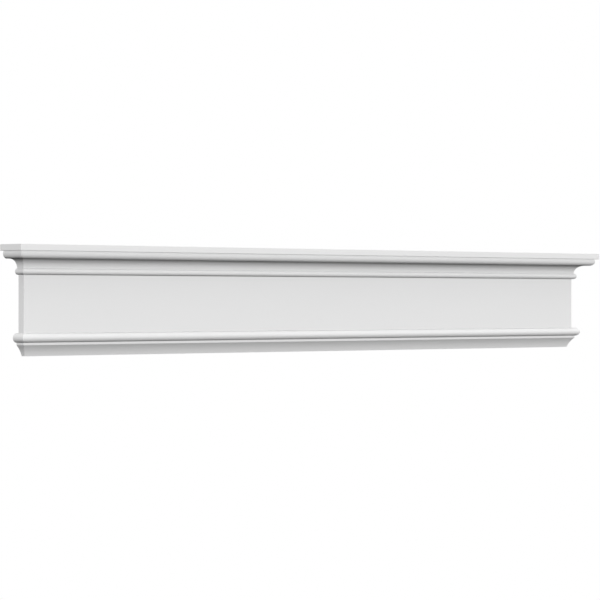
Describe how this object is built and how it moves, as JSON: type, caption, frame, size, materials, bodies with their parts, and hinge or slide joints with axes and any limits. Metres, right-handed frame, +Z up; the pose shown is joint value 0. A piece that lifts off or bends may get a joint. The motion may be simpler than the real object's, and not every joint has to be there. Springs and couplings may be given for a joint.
{
  "type": "over door cornice",
  "caption": "Straight moulded crosshead for above a door: crown, tall plain frieze, half round over a shallow cove, returned mitred ends and a flat back.",
  "frame": {"origin": "centre of the flat back, on the wall plane, at half the length and half the height", "axes": "+X along the length, to the right for a viewer facing the front; +Y into the wall, so the front faces -Y; +Z up"},
  "size_m": [1.233, 0.0436, 0.152],
  "materials": {
    "primed_polyurethane": "smooth factory-primed white moulded polyurethane, matt with a faint sheen"
  },
  "bodies": {
    "root": {"over_door_cornice": "primed_polyurethane"}
  },
  "joints": []
}
